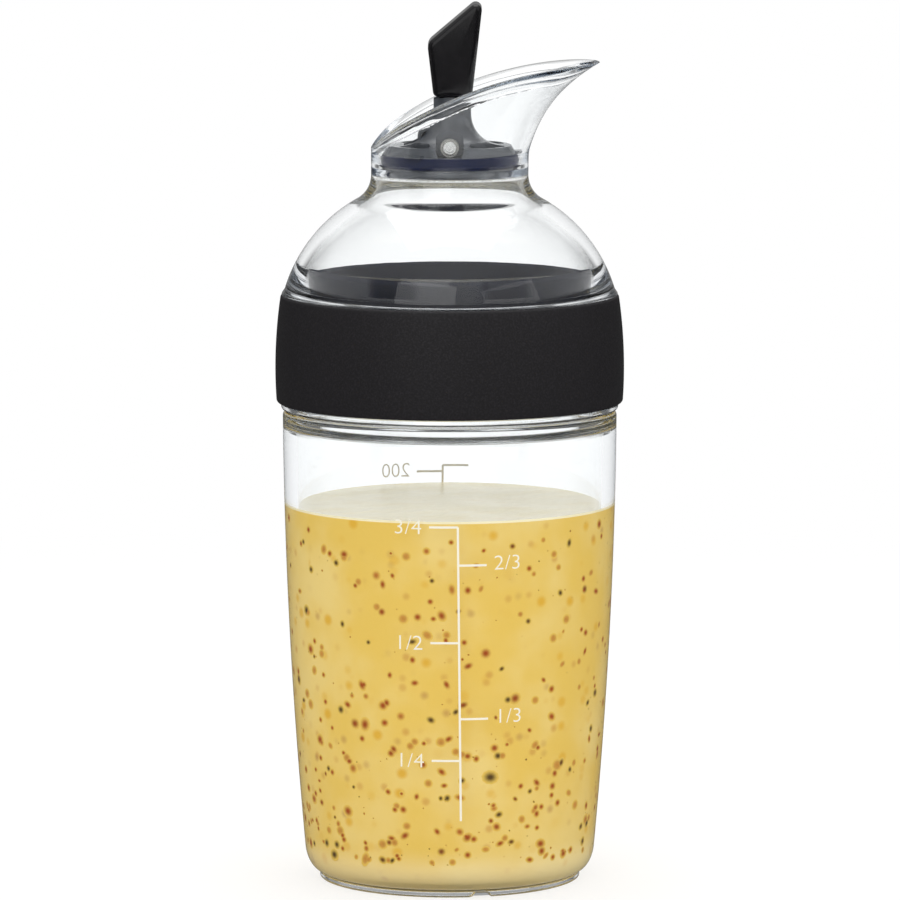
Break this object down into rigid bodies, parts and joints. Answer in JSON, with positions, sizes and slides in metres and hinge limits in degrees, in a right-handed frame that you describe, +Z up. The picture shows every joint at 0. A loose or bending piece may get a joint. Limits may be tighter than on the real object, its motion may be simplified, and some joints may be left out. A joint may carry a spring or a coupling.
{
  "type": "salad dressing shaker bottle",
  "caption": "Clear dressing shaker with a measured container, a screw-on dome with a black grip band, a pouring spout and a lever-worked plug.",
  "frame": {"origin": "on the container's axis, in the plane that the foot ring stands on", "axes": "+Z up along the container's axis, +X towards the tip of the spout, +Y completes the right-handed frame"},
  "size_m": [0.068, 0.068, 0.1719],
  "materials": {
    "clear_body": "clear copolyester, moulded and polished",
    "clear_lid": "clear copolyester, moulded and polished",
    "dressing": "wet, cloudy oil-and-mustard dressing with seeds",
    "soft_black": "matte soft-touch elastomer",
    "black_nylon": "glossy moulded nylon",
    "housing_black": "satin moulded plastic",
    "navy_silicone": "smooth silicone",
    "gasket_silicone": "smooth silicone",
    "pin_steel": "turned and tumbled"
  },
  "bodies": {
    "bottle": {"container": "clear_body", "dressing": "dressing"},
    "gasket_ring": {"lid_gasket": "gasket_silicone"},
    "lid": {"dome_shell": "clear_lid", "grip_band": "soft_black", "pour_spout": "clear_lid", "valve_housing": "housing_black", "lever_pin": "pin_steel", "pin_collar": "pin_steel"},
    "tilting_lever": {"lever": "black_nylon", "crank_pin": "pin_steel"},
    "valve": {"plunger": "housing_black", "plug_seal": "navy_silicone", "seal_retainer": "housing_black"}
  },
  "joints": [
    {"name": "lid_rise", "type": "slide", "parent": "bottle", "child": "gasket_ring", "axis": [0, 0, 1], "range_m": [0, 0.03]},
    {"name": "lid_turn", "type": "hinge", "parent": "gasket_ring", "child": "lid", "pos_m": [0, 0, 0.1], "axis": [0, 0, 1], "range_deg": [0, 600]},
    {"name": "lever_tilt", "type": "hinge", "parent": "lid", "child": "tilting_lever", "pos_m": [0, 0, 0.1438], "axis": [0, -1, 0], "range_deg": [0, 60]},
    {"name": "valve_drop", "type": "slide", "parent": "lid", "child": "valve", "axis": [0, 0, -1], "range_m": [0, 0.0046]}
  ],
  "couplings": [
    {"joint": "lid_rise", "follows": "lid_turn", "m_per_rad": 0.0028648},
    {"joint": "valve_drop", "follows": "lever_tilt", "m_per_rad": 0.0043865}
  ]
}
